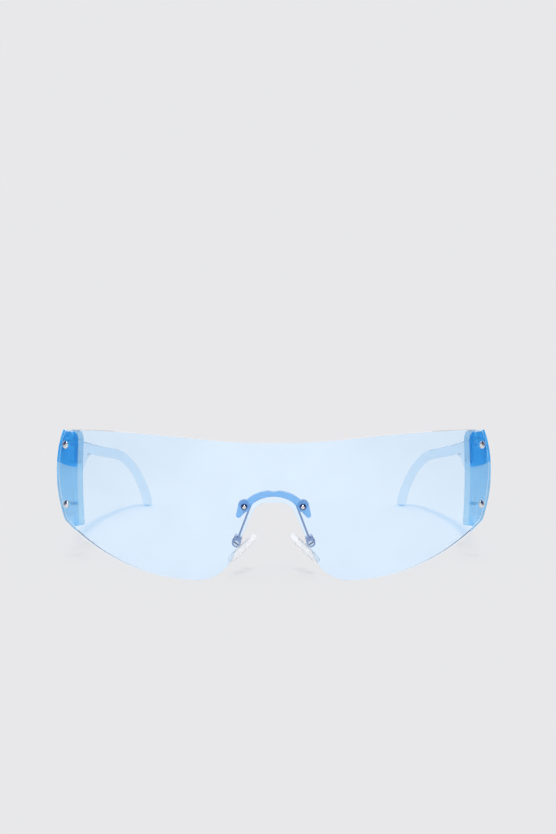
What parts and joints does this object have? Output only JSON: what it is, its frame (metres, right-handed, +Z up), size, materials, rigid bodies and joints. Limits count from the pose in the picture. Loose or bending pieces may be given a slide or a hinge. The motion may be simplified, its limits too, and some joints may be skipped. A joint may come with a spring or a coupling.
{
  "type": "shield sunglasses",
  "caption": "Rimless wraparound shield sunglasses with a pale blue one-piece lens, translucent blue folding temples and clear nose pads.",
  "frame": {"origin": "on the table the open glasses stand on, under the middle of their bounding box", "axes": "+X to the right of someone facing the lens, +Y from the lens back to the ear hooks, +Z up"},
  "size_m": [0.146, 0.1556, 0.0464],
  "materials": {
    "lens_tint": "clear pale blue polycarbonate, polished",
    "plate_blue": "translucent blue moulding, gloss",
    "temple_blue": "translucent blue moulding, gloss",
    "bar_blue": "translucent blue moulding, gloss",
    "screw_chrome": "polished dome heads",
    "nut_steel": "turned steel",
    "bush_clear": "clear nylon",
    "hinge_steel": "turned steel",
    "arm_steel": "strip steel, satin",
    "pad_screw_steel": "turned steel",
    "stem_clear": "clear hard plastic",
    "pad_clear": "clear silicone, satin"
  },
  "bodies": {
    "front": {"shield_lens": "lens_tint", "bridge_bar": "bar_blue", "bridge_screws": "screw_chrome", "bridge_bushes": "bush_clear", "bridge_nuts": "nut_steel", "left_end_plate": "plate_blue", "left_end_screws": "screw_chrome", "left_end_bushes": "bush_clear", "left_hinge_screw": "hinge_steel", "left_pad_arm": "arm_steel", "left_pad_screw": "pad_screw_steel", "right_end_plate": "plate_blue", "right_end_screws": "screw_chrome", "right_end_bushes": "bush_clear", "right_hinge_screw": "hinge_steel", "right_pad_arm": "arm_steel", "right_pad_screw": "pad_screw_steel"},
    "left_arm": {"left_temple": "temple_blue"},
    "right_arm": {"right_temple": "temple_blue"},
    "left_pad": {"left_nose_pad": "pad_clear", "left_pad_stem": "stem_clear"},
    "right_pad": {"right_nose_pad": "pad_clear", "right_pad_stem": "stem_clear"}
  },
  "joints": [
    {"name": "left_temple_fold", "type": "hinge", "parent": "front", "child": "left_arm", "pos_m": [-0.0663, -0.03632, 0.0386], "axis": [0, 0, -1], "range_deg": [0, 88]},
    {"name": "right_temple_fold", "type": "hinge", "parent": "front", "child": "right_arm", "pos_m": [0.0663, -0.03632, 0.0386], "axis": [0, 0, 1], "range_deg": [0, 80]},
    {"name": "left_pad_tilt", "type": "hinge", "parent": "front", "child": "left_pad", "pos_m": [-0.0119, -0.06986, 0.0118], "axis": [0, 1, 0], "range_deg": [-10, 10]},
    {"name": "right_pad_tilt", "type": "hinge", "parent": "front", "child": "right_pad", "pos_m": [0.0119, -0.06986, 0.0118], "axis": [0, 1, 0], "range_deg": [-10, 10]}
  ]
}
